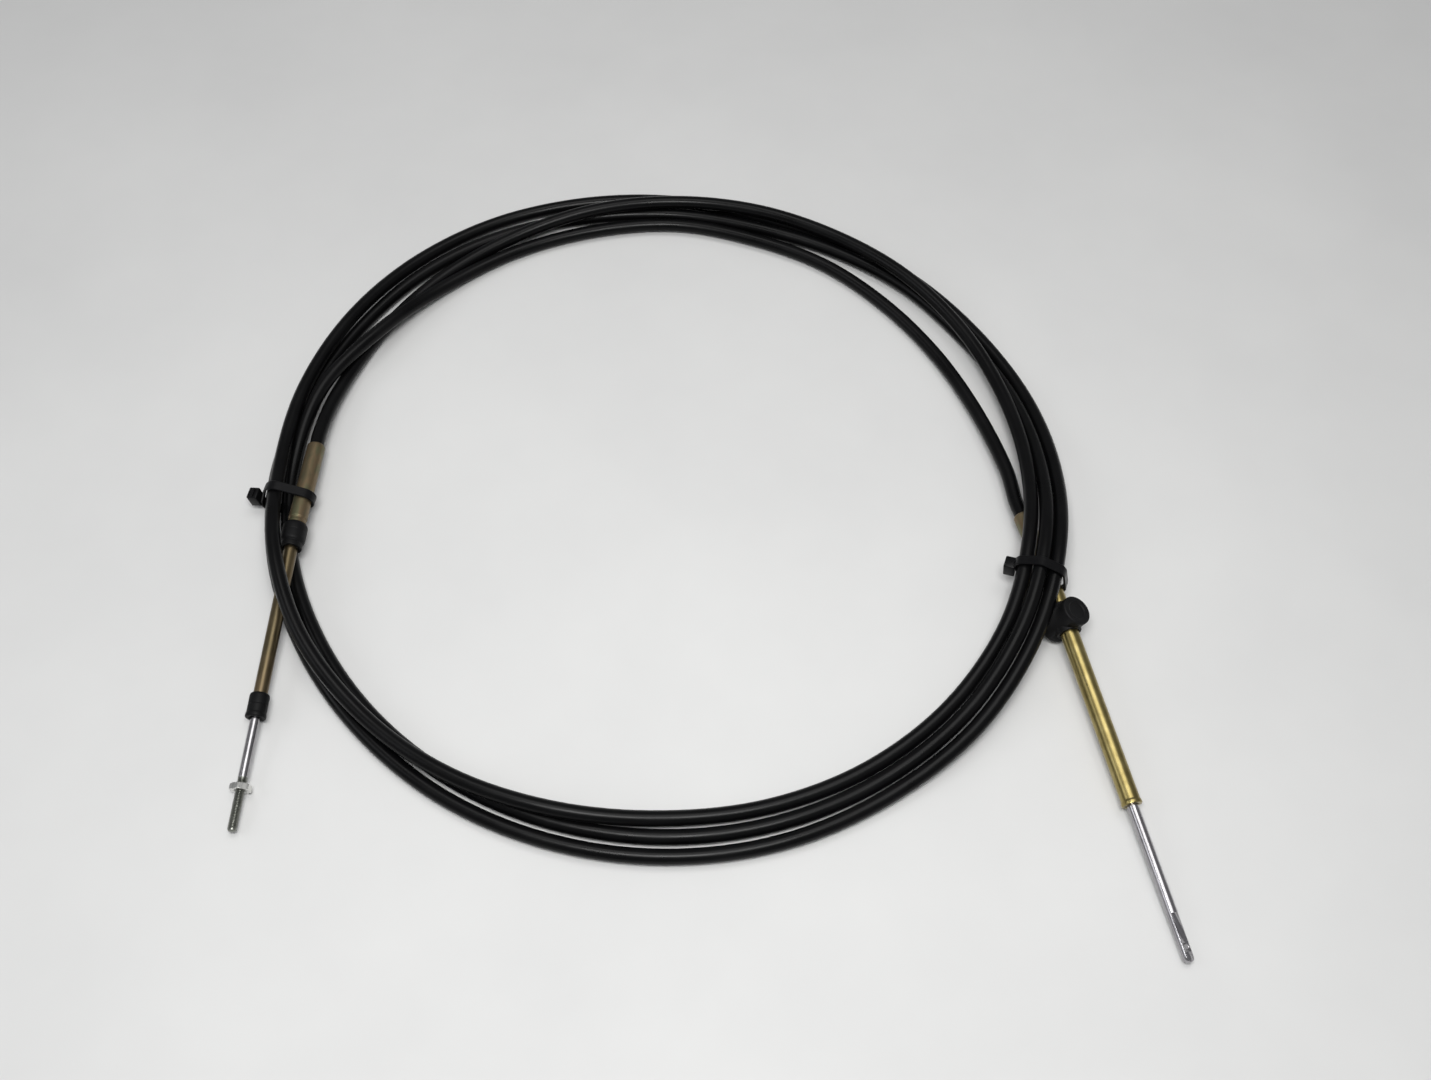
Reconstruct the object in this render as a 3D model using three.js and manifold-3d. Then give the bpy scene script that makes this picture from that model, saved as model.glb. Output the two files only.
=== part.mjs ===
// A boat's push-pull control cable, tied in a loose coil of three and a half turns as it is sold.
// The jacket runs from the control end's hub, round the coil, to the engine end's hub. A steel rod slides in
// a sleeve at the control end and another in a brass tube at the engine end, which carries a trunnion.
// Units are millimetres. While it is being made, x and y are measured from the coil's centre, with the end
// fittings towards -Y, and z from the floor that the coil lies on.
import * as THREE from "three";
import { mergeVertices } from "three/addons/utils/BufferGeometryUtils.js";
import Module from "manifold-3d";

const wasm = await Module();
wasm.setup();

// Jacket and coil
const JACKET_DIAMETER = 7.9;
const JACKET_SIDES = 10;
const JACKET_STEPS = 240;
const STRAND_PITCH = JACKET_DIAMETER + 0.4; // strands that lie side by side
const COIL_RADIUS = 210; // middle lane of the bundle, at its centre line
const STATION_STEP = 15; // degrees between the route's stations
const FIRST_STATION = 165; // degrees, counted from +X towards +Y; the route runs clockwise from above
const STRAIGHT_EXIT = 10; // straight jacket where it leaves a hub

// Running and seating clearances
const GAP = 0.3; // between pieces that touch
const SLIDE_GAP = 0.3; // round a rod in its bore
const FACETS = 24; // round a turned piece

// Hubs, swaged on the jacket's ends
const HUB_DIAMETER = 9.9;
const HUB_SOCKET_DEPTH = 18; // how far the jacket goes into a hub
const HUB_EDGE = 0.7; // chamfer at the mouth
const HUB_GROOVE_WIDTH = 2.2;
const HUB_GROOVE_DEPTH = 0.5;
const CONTROL_GROOVE_FROM_SWIVEL = 6.8;
const ENGINE_GROOVE_FROM_SWIVEL = 8;
const BALL_RADIUS = 4.1; // the swivel ball on a sleeve's or tube's inner end
const BALL_NECK_RADIUS = 3.3;
const BALL_NECK_LENGTH = 1.5;

// Control end
const CONTROL_SIDE = -COIL_RADIUS; // x where the bundle's middle lane passes this end
const CONTROL_SWIVEL_IN = 9; // from there towards the coil's centre, as for the next two
const CONTROL_MOUTH_IN = 11;
const CONTROL_TIP_IN = 1.6;
const CONTROL_SWIVEL = new THREE.Vector3(CONTROL_SIDE + CONTROL_SWIVEL_IN, -44.8, 15.5);
const CONTROL_HUB_MOUTH = new THREE.Vector3(CONTROL_SIDE + CONTROL_MOUTH_IN, 15.1, 11.5);
const CONTROL_ROD_TIP = new THREE.Vector3(CONTROL_SIDE + CONTROL_TIP_IN, -207.8, 3.5);
const CONTROL_ROD_DIAMETER = 4.8;
const SLEEVE_DIAMETER = 7.1;
const SLEEVE_LENGTH = 102.2; // from the swivel
const BOOT_DIAMETER = 13.2;
const BOOT_LIP_DIAMETER = 11.4;
const BOOT_ABOVE_SWIVEL = 5;
const BOOT_BELOW_SWIVEL = 9.9;
const BOOT_LIP_LENGTH = 3.2;
const BOOT_LIP_EDGE = 0.5;
const BOOT_SHOULDER_HEIGHT = 2.4; // rounded in two steps, from the boot's top
const BOOT_SHOULDER_WIDTH = 2;
const BOOT_SHOULDER_STEP = 0.6;
const BOOT_STEP_LENGTH = 1.4; // from the body down to the lip
const BOOT_ROOM_LENGTH = 40; // of the spaces cut out of it
const SEAL_DIAMETER = 10.4;
const SEAL_LENGTH = 13;
const SEAL_WALL = 3; // in front of the sleeve's end
const SEAL_EDGE = 0.7;
const SEAL_BACK_EDGE = 1;
const SEAL_RIM_LENGTH = 1.8; // the front rim stands out a little
const SEAL_RIM_HEIGHT = 0.2;
const NUT_ACROSS_FLATS = 9.5;
const NUT_THICKNESS = 3.2;
const NUT_FROM_TIP = 20.4; // to the nut's outer face
const ROD_EDGE = 0.4; // chamfer at a rod's inner end
const THREAD_LENGTH = 27;
const THREAD_RELIEF = 0.1; // how far the thread lies under the rod's surface

// Engine end
const ENGINE_SIDE = COIL_RADIUS; // x where the bundle's middle lane passes this end
const ENGINE_SWIVEL_IN = 9.25; // from there towards the coil's centre, as for the next
const ENGINE_MOUTH_IN = 17.9;
const ENGINE_TIP_OUT = 33.1; // the other way
const ENGINE_SWIVEL = new THREE.Vector3(ENGINE_SIDE - ENGINE_SWIVEL_IN, -72.1, 15.4);
const ENGINE_HUB_MOUTH = new THREE.Vector3(ENGINE_SIDE - ENGINE_MOUTH_IN, -31.6, 11.4);
const ENGINE_EYE_TIP = new THREE.Vector3(ENGINE_SIDE + ENGINE_TIP_OUT, -270.4, 3.2);
const ENGINE_ROD_DIAMETER = 5.6;
const TUBE_DIAMETER = 9.5;
const TUBE_LENGTH = 126.8; // from the swivel
const TUBE_LIP = 0.35; // how far the rolled lip stands out
const TUBE_LIP_LENGTH = 1.6;
const EYE_LENGTH = 23;
const EYE_THICKNESS = 2.6;
const EYE_TURN = -30; // degrees that the flat is turned about the rod, from facing up
const EYE_TIP_STEPS = 6; // round the tip
const EYE_HOLE_DIAMETER = 3.4;
const EYE_HOLE_FROM_TIP = 7.3;
const TRUNNION_FROM_SWIVEL = 25.3;
const TRUNNION_DIAMETER = 16.2;
const TRUNNION_LENGTH = 21.6;
const TRUNNION_TILT = 65; // degrees that the barrel is turned up from level
const TRUNNION_EDGE = 1.2;
const TRUNNION_COLLAR_DIAMETER = 13;
const TRUNNION_COLLAR_LENGTH = 16.2;
const TRUNNION_COLLAR_EDGE = 0.8;

// Travel of the rods: 3 inches in all
const ROD_OUT = 42; // how far the control rod moves out, and the engine rod in
const ROD_IN = 34; // how far the control rod moves in, and the engine rod out
const ROD_MARGIN = 4; // bore left beyond a rod that is pushed all the way in

// Cable ties
const TIE_WIDTH = 5.4;
const TIE_THICKNESS = 1.2;
const TIE_HEAD_WIDTH = 7;
const TIE_HEAD_LENGTH = 8.4;
const TIE_HEAD_HEIGHT = 6;
const TIE_TAIL_LENGTH = 1; // left standing out of the head
const TIE_TAIL_ROOT = 2; // length of the tail inside the head
const TIE_WRAP_FACETS = 32; // round each strand that a strap touches
const ROUTE_SAMPLES = 2000; // of the jacket's centre line, to find where it crosses a tie
const CONTROL_TIE_Y = -20; // where the tie crosses the coil's middle lane
const CONTROL_TIE_SKEW = -14; // degrees that the strap is turned from square across the coil
const CONTROL_TIE_HEAD = -8; // degrees in the tie's own plane, 0 outwards and 90 up
const ENGINE_TIE_Y = -72.9;
const ENGINE_TIE_SKEW = 0;
const ENGINE_TIE_HEAD = 188;

const MATERIALS = {
  jacket: { color: 0x0c0c0d, roughness: 0.38, metalness: 0 },
  rubber: { color: 0x0f0f10, roughness: 0.6, metalness: 0 },
  nylon: { color: 0x111112, roughness: 0.45, metalness: 0 },
  zinc: { color: 0x8f7d52, roughness: 0.42, metalness: 0.85 },
  brass: { color: 0xb9963f, roughness: 0.28, metalness: 1 },
  steel: { color: 0xb8b8b6, roughness: 0.22, metalness: 1 },
};

// Each turn's stations, chosen by hand. A lane is counted outwards from the middle of the bundle and a
// layer upwards from the floor, both in strands. A turn starts at FIRST_STATION and has 24 stations.
const TURNS = [
  {
    lanes: [
      -1.05, -0.8, -0.47, -0.6, -0.7, -0.48, -0.73, -0.98, -1.29, -1.46, -1.57, -1.57,
      -1.39, -0.92, -0.8, -0.89, -1, -0.98, -0.46, 0, 0.35, 0.75, 0.68, 0.7,
    ],
    layers: [
      0.55, 0.1, 0, 0.46, 0.99, 0.84, 0.98, 0.96, 1.17, 1.06, 1.04, 1.6,
      2.3, 1.75, 0.78, 0.14, 0, 0.24, 0.95, 1.01, 0.95, 1.85, 2.35, 1.35,
    ],
  },
  {
    lanes: [
      1.08, 1.41, 1.8, 1.81, 1.12, 0.36, -0.48, -0.61, -0.4, -0.22, 0.2, 0.36,
      0.5, 0.95, 1.23, 1.16, 1.28, 1.25, 1.16, 1.06, 0.92, 0.95, 1.17, 1.22,
    ],
    layers: [
      1.07, 0.88, 0.36, 0, 0, 0, 0, 0, 0, 0, 0.18, 1.14,
      2.49, 2, 0.9, 0.14, 0, 0, 0, 0, 0, 0, 0.11, 0.22,
    ],
  },
  {
    lanes: [
      0.96, 0.87, 0.83, 0.35, -0.46, -1.04, -1.67, -1.6, -1.39, -1.22, -0.8, -0.62,
      -0.44, -0.01, 0.22, 0.12, 0.11, 0.07, -0.01, -0.1, -0.12, -0.06, 0.12, 0.17,
    ],
    layers: [
      0.07, 0, 0, 0, 0, 0, 0.12, 0.07, 0.16, 0.06, 0.42, 1.39,
      2.71, 2.24, 1.02, 0.14, 0, 0, 0, 0, 0, 0, 0.07, 0.22,
    ],
  },
  {
    lanes: [-0.12, -1.29, -1.46, -1.59, -1.86, -2.07, -2.75, -3.13, -3.62, -3.8, -3.6, -2.74],
    layers: [1.1, 1.14, 0.23, 0, 0, 0, 0, 0, 0, 0.06, 0.3, 0.7],
  },
];

const radians = THREE.MathUtils.degToRad;
const unit = (from, to) => to.clone().sub(from).normalize();
const UP = new THREE.Vector3(0, 0, 1);

// Axes of the end fittings: each fitting's own z runs from its swivel outwards.
const controlAxis = unit(CONTROL_SWIVEL, CONTROL_ROD_TIP);
const controlReach = CONTROL_SWIVEL.distanceTo(CONTROL_ROD_TIP);
const controlHubAxis = unit(CONTROL_SWIVEL, CONTROL_HUB_MOUTH);
const controlHubLength = CONTROL_SWIVEL.distanceTo(CONTROL_HUB_MOUTH);
const engineAxis = unit(ENGINE_SWIVEL, ENGINE_EYE_TIP);
const engineReach = ENGINE_SWIVEL.distanceTo(ENGINE_EYE_TIP);
const engineHubAxis = unit(ENGINE_SWIVEL, ENGINE_HUB_MOUTH);
const engineHubLength = ENGINE_SWIVEL.distanceTo(ENGINE_HUB_MOUTH);

// Placement at a point with the shape's own z along an axis and its own x as level as it can be.
function placedAlong(origin, axis) {
  const side = new THREE.Vector3().crossVectors(UP, axis).normalize();
  const over = new THREE.Vector3().crossVectors(axis, side);
  return new THREE.Matrix4().makeBasis(side, over, axis).setPosition(origin);
}

// Solid turned about its own z from an outline of [radius, height] points. The outline starts and ends on
// the axis, or closes on itself, and runs with the material on its left.
function turned(outline, facets = FACETS) {
  const points = outline.map(([radius, height]) => new THREE.Vector2(radius, height));
  return new THREE.LatheGeometry(points, facets).rotateX(Math.PI / 2);
}

// Outline of [radius, height] points along an arc about a centre on the axis, from one angle to another.
// An angle of 90 degrees points up the axis.
function arc(radius, centreHeight, fromAngle, toAngle, steps) {
  return Array.from({ length: steps + 1 }, (_, i) => {
    const angle = radians(fromAngle + ((toAngle - fromAngle) * i) / steps);
    const reach = Math.max(radius * Math.cos(angle), 0);
    return [reach < 1e-6 ? 0 : reach, centreHeight + radius * Math.sin(angle)];
  });
}

function toSolid(geometry) {
  const bare = geometry.clone();
  bare.deleteAttribute("normal");
  bare.deleteAttribute("uv");
  const merged = mergeVertices(bare, 1e-4);
  return new wasm.Manifold(
    new wasm.Mesh({
      numProp: 3,
      vertProperties: new Float32Array(merged.attributes.position.array),
      triVerts: new Uint32Array(merged.index.array),
    }),
  );
}

function toGeometry(solid) {
  const mesh = solid.getMesh();
  const geometry = new THREE.BufferGeometry();
  geometry.setAttribute("position", new THREE.BufferAttribute(mesh.vertProperties, 3));
  geometry.setIndex(new THREE.BufferAttribute(mesh.triVerts, 1));
  geometry.computeVertexNormals();
  return geometry;
}

function joined(...geometries) {
  const [first, ...rest] = geometries.map(toSolid);
  return toGeometry(rest.reduce((whole, piece) => whole.add(piece), first));
}

function cut(geometry, ...tools) {
  return toGeometry(tools.map(toSolid).reduce((left, tool) => left.subtract(tool), toSolid(geometry)));
}

// The jacket's centre line: out of the control hub's socket, round the coil, into the engine hub's socket.
function jacketRoute() {
  const points = [
    CONTROL_HUB_MOUTH.clone().addScaledVector(controlHubAxis, GAP - HUB_SOCKET_DEPTH),
    CONTROL_HUB_MOUTH.clone(),
    CONTROL_HUB_MOUTH.clone().addScaledVector(controlHubAxis, STRAIGHT_EXIT),
  ];
  for (const { lanes, layers } of TURNS) {
    lanes.forEach((lane, i) => {
      const angle = radians(FIRST_STATION - i * STATION_STEP);
      const radius = COIL_RADIUS + lane * STRAND_PITCH;
      const height = JACKET_DIAMETER / 2 + layers[i] * STRAND_PITCH;
      points.push(new THREE.Vector3(radius * Math.cos(angle), radius * Math.sin(angle), height));
    });
  }
  points.push(
    ENGINE_HUB_MOUTH.clone().addScaledVector(engineHubAxis, STRAIGHT_EXIT),
    ENGINE_HUB_MOUTH.clone(),
    ENGINE_HUB_MOUTH.clone().addScaledVector(engineHubAxis, GAP - HUB_SOCKET_DEPTH),
  );
  return new THREE.CatmullRomCurve3(points);
}

function jacket(route) {
  const section = new THREE.Shape();
  for (let i = 0; i < JACKET_SIDES; i += 1) {
    const angle = (2 * Math.PI * i) / JACKET_SIDES;
    const x = (JACKET_DIAMETER / 2) * Math.cos(angle);
    const y = (JACKET_DIAMETER / 2) * Math.sin(angle);
    if (i === 0) section.moveTo(x, y);
    else section.lineTo(x, y);
  }
  return new THREE.ExtrudeGeometry(section, { steps: JACKET_STEPS, extrudePath: route });
}

// Hub from its swivel cup, at z = 0, up to its mouth. A groove is rolled in round it.
function hub(length, grooveFromSwivel) {
  const radius = HUB_DIAMETER / 2;
  const socketRadius = JACKET_DIAMETER / 2 + GAP;
  const cupRadius = BALL_RADIUS + GAP;
  const grooveRadius = radius - HUB_GROOVE_DEPTH;
  const grooveTop = grooveFromSwivel + HUB_GROOVE_WIDTH;
  return turned([
    ...arc(cupRadius, 0, 90, 0, 6),
    [radius, 0],
    [radius, grooveFromSwivel],
    [grooveRadius, grooveFromSwivel + HUB_GROOVE_DEPTH],
    [grooveRadius, grooveTop - HUB_GROOVE_DEPTH],
    [radius, grooveTop],
    [radius, length - HUB_EDGE],
    [(radius + socketRadius) / 2, length],
    [socketRadius, length],
    [socketRadius, length - HUB_SOCKET_DEPTH],
    [0, length - HUB_SOCKET_DEPTH],
  ]);
}

// Barrel with a swivel ball at z = 0 and a blind bore that opens at its far end.
function barrel(radius, length, boreRadius, lip, lipLength) {
  const neckAngle = THREE.MathUtils.radToDeg(Math.acos(BALL_NECK_RADIUS / BALL_RADIUS));
  const neckTop = BALL_RADIUS + BALL_NECK_LENGTH;
  const shoulder = neckTop + (radius - BALL_NECK_RADIUS);
  const ball = arc(BALL_RADIUS, 0, -90, neckAngle, 8);
  return turned([
    ...ball,
    [BALL_NECK_RADIUS, neckTop],
    [radius, shoulder],
    [radius, length - 2 * lipLength],
    [radius + lip, length - lipLength],
    [radius + lip, length],
    [boreRadius, length],
    [boreRadius, shoulder],
    [0, shoulder],
  ]);
}

function controlSleeve() {
  const bore = CONTROL_ROD_DIAMETER / 2 + SLIDE_GAP;
  return barrel(SLEEVE_DIAMETER / 2, SLEEVE_LENGTH, bore, 0, 1);
}

function engineTube() {
  const bore = ENGINE_ROD_DIAMETER / 2 + SLIDE_GAP;
  return barrel(TUBE_DIAMETER / 2, TUBE_LENGTH, bore, TUBE_LIP, TUBE_LIP_LENGTH);
}

// Rubber boot round the control end's swivel, with room inside for the hub, the ball and the sleeve.
function controlBoot() {
  const radius = BOOT_DIAMETER / 2;
  const lip = BOOT_LIP_DIAMETER / 2;
  const top = -BOOT_ABOVE_SWIVEL;
  const bottom = BOOT_BELOW_SWIVEL;
  const bootAxis = controlAxis.clone().sub(controlHubAxis).normalize();
  const hubReach = HUB_DIAMETER / 2 + GAP;
  const sleeveReach = SLEEVE_DIAMETER / 2 + GAP;
  const hubRoom = new THREE.CylinderGeometry(hubReach, hubReach, BOOT_ROOM_LENGTH, FACETS);
  const ballRoom = new THREE.SphereGeometry(hubReach, FACETS, FACETS / 2);
  const sleeveRoom = new THREE.CylinderGeometry(sleeveReach, sleeveReach, BOOT_ROOM_LENGTH, FACETS);
  hubRoom.rotateX(Math.PI / 2).translate(0, 0, BOOT_ROOM_LENGTH / 2);
  sleeveRoom.rotateX(Math.PI / 2).translate(0, 0, BOOT_ROOM_LENGTH / 2);
  const outside = turned([
    [0, top],
    [radius - BOOT_SHOULDER_WIDTH, top],
    [radius - BOOT_SHOULDER_STEP, top + BOOT_SHOULDER_STEP],
    [radius, top + BOOT_SHOULDER_HEIGHT],
    [radius, bottom - BOOT_LIP_LENGTH - BOOT_STEP_LENGTH],
    [lip, bottom - BOOT_LIP_LENGTH],
    [lip, bottom - BOOT_LIP_EDGE],
    [lip - BOOT_LIP_EDGE, bottom],
    [0, bottom],
  ]);
  return cut(
    outside.applyMatrix4(placedAlong(CONTROL_SWIVEL, bootAxis)),
    hubRoom.applyMatrix4(placedAlong(CONTROL_SWIVEL, controlHubAxis)),
    ballRoom.translate(CONTROL_SWIVEL.x, CONTROL_SWIVEL.y, CONTROL_SWIVEL.z),
    sleeveRoom.applyMatrix4(placedAlong(CONTROL_SWIVEL, controlAxis)),
  );
}

// Wiper cap over the sleeve's open end. The rod slides through its front wall.
function controlSeal() {
  const radius = SEAL_DIAMETER / 2;
  const body = radius - SEAL_RIM_HEIGHT;
  const front = SLEEVE_LENGTH + GAP + SEAL_WALL;
  const back = front - SEAL_LENGTH;
  const sleeveRoom = SLEEVE_DIAMETER / 2 + GAP;
  const rodRoom = CONTROL_ROD_DIAMETER / 2 + SLIDE_GAP;
  const outline = [
    [sleeveRoom, back],
    [body - SEAL_BACK_EDGE, back],
    [body, back + SEAL_BACK_EDGE],
    [body, front - SEAL_RIM_LENGTH - SEAL_EDGE],
    [radius, front - SEAL_RIM_LENGTH],
    [radius, front - SEAL_EDGE],
    [radius - SEAL_EDGE, front],
    [rodRoom, front],
    [rodRoom, SLEEVE_LENGTH + GAP],
    [sleeveRoom, SLEEVE_LENGTH + GAP],
    [sleeveRoom, back],
  ];
  return turned(outline);
}

function controlRod() {
  const radius = CONTROL_ROD_DIAMETER / 2;
  const threadRadius = radius - THREAD_RELIEF;
  const innerEnd = BALL_RADIUS + SLEEVE_DIAMETER / 2 + ROD_IN + ROD_MARGIN;
  const threadStart = controlReach - THREAD_LENGTH;
  return turned([
    [0, innerEnd],
    [radius - ROD_EDGE, innerEnd],
    [radius, innerEnd + ROD_EDGE],
    [radius, threadStart - THREAD_RELIEF],
    [threadRadius, threadStart],
    ...arc(threadRadius, controlReach - threadRadius, 0, 90, 5),
  ]);
}

function controlNut() {
  const shape = new THREE.Shape();
  const corner = NUT_ACROSS_FLATS / Math.sqrt(3);
  for (let i = 0; i < 6; i += 1) {
    const angle = (Math.PI * i) / 3;
    const x = corner * Math.cos(angle);
    const y = corner * Math.sin(angle);
    if (i === 0) shape.moveTo(x, y);
    else shape.lineTo(x, y);
  }
  const bore = new THREE.Path();
  bore.absarc(0, 0, CONTROL_ROD_DIAMETER / 2 + GAP, 0, 2 * Math.PI, true);
  shape.holes.push(bore);
  const nut = new THREE.ExtrudeGeometry(shape, {
    depth: NUT_THICKNESS,
    bevelEnabled: false,
    curveSegments: FACETS,
  });
  return nut.translate(0, 0, controlReach - NUT_FROM_TIP - NUT_THICKNESS);
}

// Engine rod. Its outer end is milled flat on both sides, rounded and drilled for the clevis pin.
function engineRod() {
  const radius = ENGINE_ROD_DIAMETER / 2;
  const innerEnd = BALL_RADIUS + TUBE_DIAMETER / 2 + ROD_OUT + ROD_MARGIN;
  const rod = turned([
    [0, innerEnd],
    [radius - ROD_EDGE, innerEnd],
    [radius, innerEnd + ROD_EDGE],
    ...arc(radius, engineReach - radius, 0, 90, EYE_TIP_STEPS),
  ]);
  const spare = 2 * ENGINE_ROD_DIAMETER;
  const cutHeight = radius - EYE_THICKNESS / 2 + 1;
  const cuts = [1, -1].map((side) => {
    const mill = new THREE.BoxGeometry(spare, cutHeight, EYE_LENGTH + 1);
    const middle = (side * (EYE_THICKNESS + cutHeight)) / 2;
    return mill.translate(0, middle, engineReach - EYE_LENGTH / 2 + 0.5);
  });
  const drill = new THREE.CylinderGeometry(EYE_HOLE_DIAMETER / 2, EYE_HOLE_DIAMETER / 2, spare, FACETS);
  drill.translate(0, 0, engineReach - EYE_HOLE_FROM_TIP);
  return cut(rod, ...cuts, drill).rotateZ(radians(EYE_TURN));
}

// Plastic trunnion: a cross barrel with a collar round the tube, bored for the tube.
function trunnion() {
  const radius = TRUNNION_DIAMETER / 2;
  const half = TRUNNION_LENGTH / 2;
  const cross = turned([
    [0, -half],
    [radius - TRUNNION_EDGE, -half],
    [radius, -half + TRUNNION_EDGE],
    [radius, half - TRUNNION_EDGE],
    [radius - TRUNNION_EDGE, half],
    [0, half],
  ]);
  cross.rotateY(Math.PI / 2).rotateZ(radians(TRUNNION_TILT));
  const collarRadius = TRUNNION_COLLAR_DIAMETER / 2;
  const collarHalf = TRUNNION_COLLAR_LENGTH / 2;
  const collar = turned([
    [0, -collarHalf],
    [collarRadius - TRUNNION_COLLAR_EDGE, -collarHalf],
    [collarRadius, -collarHalf + TRUNNION_COLLAR_EDGE],
    [collarRadius, collarHalf - TRUNNION_COLLAR_EDGE],
    [collarRadius - TRUNNION_COLLAR_EDGE, collarHalf],
    [0, collarHalf],
  ]);
  const boreRadius = TUBE_DIAMETER / 2 + GAP;
  const boreLength = TRUNNION_DIAMETER + TRUNNION_COLLAR_LENGTH;
  const bore = new THREE.CylinderGeometry(boreRadius, boreRadius, boreLength, FACETS).rotateX(Math.PI / 2);
  return cut(joined(cross, collar), bore);
}

// Upright plane of a tie, across the coil's middle lane at a given y, on the -X side or the +X side.
function tiePlane(side, y, skewDegrees) {
  const x = side * Math.sqrt(COIL_RADIUS ** 2 - y ** 2);
  const facing = Math.atan2(y, x) + radians(skewDegrees);
  return {
    centre: new THREE.Vector3(x, y, 0),
    outward: new THREE.Vector3(Math.cos(facing), Math.sin(facing), 0),
    along: new THREE.Vector3(-Math.sin(facing), Math.cos(facing), 0),
  };
}

// Where strands and fittings cross a tie's plane, shifted along the coil. Each is a circle in that plane:
// how far out it lies, how high, and its radius.
function crossings(lines, { centre, outward, along }, shift) {
  const found = [];
  for (const { points, radius } of lines) {
    for (let i = 1; i < points.length; i += 1) {
      const start = points[i - 1].clone().sub(centre);
      const end = points[i].clone().sub(centre);
      const before = start.dot(along) - shift;
      const after = end.dot(along) - shift;
      if (before * after > 0) continue;
      const at = start.clone().lerp(end, before / (before - after));
      if (Math.abs(at.dot(outward)) > COIL_RADIUS / 2) continue;
      const slant = Math.abs(unit(start, end).dot(along));
      found.push({ out: at.dot(outward), up: at.z, radius: radius / slant });
    }
  }
  return found;
}

// Tightest outline round a set of circles, at a clearance from them.
function wrap(circles, clearance) {
  const points = [];
  for (const { out, up, radius } of circles) {
    for (let i = 0; i < TIE_WRAP_FACETS; i += 1) {
      const angle = (2 * Math.PI * i) / TIE_WRAP_FACETS;
      const reach = radius + clearance;
      points.push(new THREE.Vector2(out + reach * Math.cos(angle), up + reach * Math.sin(angle)));
    }
  }
  points.sort((a, b) => a.x - b.x || a.y - b.y);
  const turn = (a, b, c) => (b.x - a.x) * (c.y - a.y) - (b.y - a.y) * (c.x - a.x);
  const chain = (ordered) => {
    const kept = [];
    for (const point of ordered) {
      while (kept.length > 1 && turn(kept.at(-2), kept.at(-1), point) <= 1e-6) kept.pop();
      kept.push(point);
    }
    return kept.slice(0, -1);
  };
  return [...chain(points), ...chain(points.toReversed())];
}

// Cable tie drawn tight round everything that crosses its plane, with its head and cut tail.
function cableTie(lines, plane, headDegrees) {
  const shifts = [-TIE_WIDTH / 2, 0, TIE_WIDTH / 2];
  const circles = shifts.flatMap((shift) => crossings(lines, plane, shift));
  const inner = wrap(circles, GAP);
  const outer = wrap(circles, GAP + TIE_THICKNESS);
  const loop = new THREE.Shape(outer);
  loop.holes.push(new THREE.Path(inner));
  const strap = new THREE.ExtrudeGeometry(loop, { depth: TIE_WIDTH, bevelEnabled: false });
  strap.translate(0, 0, -TIE_WIDTH / 2);

  const middle = new THREE.Box2().setFromPoints(outer).getCenter(new THREE.Vector2());
  const direction = new THREE.Vector2(Math.cos(radians(headDegrees)), Math.sin(radians(headDegrees)));
  const reach = Math.max(...inner.map((point) => point.clone().sub(middle).dot(direction)));
  const seat = middle.clone().addScaledVector(direction, reach);
  const head = new THREE.BoxGeometry(TIE_HEAD_HEIGHT, TIE_HEAD_LENGTH, TIE_HEAD_WIDTH);
  head.translate(TIE_HEAD_HEIGHT / 2 + GAP, 0, 0);
  const tail = new THREE.BoxGeometry(TIE_THICKNESS, TIE_TAIL_LENGTH + TIE_TAIL_ROOT, TIE_WIDTH);
  tail.translate(TIE_HEAD_HEIGHT / 2, (TIE_HEAD_LENGTH + TIE_TAIL_LENGTH - TIE_TAIL_ROOT) / 2, 0);
  const block = joined(head, tail).rotateZ(radians(headDegrees)).translate(seat.x, seat.y, 0);

  const placed = new THREE.Matrix4().makeBasis(plane.outward, UP, plane.along.clone().negate());
  return joined(strap, block).applyMatrix4(placed.setPosition(plane.centre));
}

function material(name) {
  return new THREE.MeshStandardMaterial(MATERIALS[name]);
}

const part = new THREE.Group();

function add(name, geometry, materialName, placement) {
  const mesh = new THREE.Mesh(geometry, material(materialName));
  mesh.name = name;
  if (placement) mesh.applyMatrix4(placement);
  part.add(mesh);
}

const route = jacketRoute();
const onControlHub = placedAlong(CONTROL_SWIVEL, controlHubAxis);
const onControlEnd = placedAlong(CONTROL_SWIVEL, controlAxis);
const onEngineHub = placedAlong(ENGINE_SWIVEL, engineHubAxis);
const onEngineEnd = placedAlong(ENGINE_SWIVEL, engineAxis);
const atTrunnion = placedAlong(
  ENGINE_SWIVEL.clone().addScaledVector(engineAxis, TRUNNION_FROM_SWIVEL),
  engineAxis,
);

add("cable_jacket", jacket(route), "jacket");
add("control_hub", hub(controlHubLength, CONTROL_GROOVE_FROM_SWIVEL), "zinc", onControlHub);
add("control_boot", controlBoot(), "rubber");
add("control_sleeve", controlSleeve(), "zinc", onControlEnd);
add("control_seal", controlSeal(), "rubber", onControlEnd);
add("control_rod", controlRod(), "steel", onControlEnd);
add("control_nut", controlNut(), "steel", onControlEnd);
add("engine_hub", hub(engineHubLength, ENGINE_GROOVE_FROM_SWIVEL), "zinc", onEngineHub);
add("engine_tube", engineTube(), "brass", onEngineEnd);
add("trunnion", trunnion(), "nylon", atTrunnion);
add("engine_rod", engineRod(), "steel", onEngineEnd);

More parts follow.
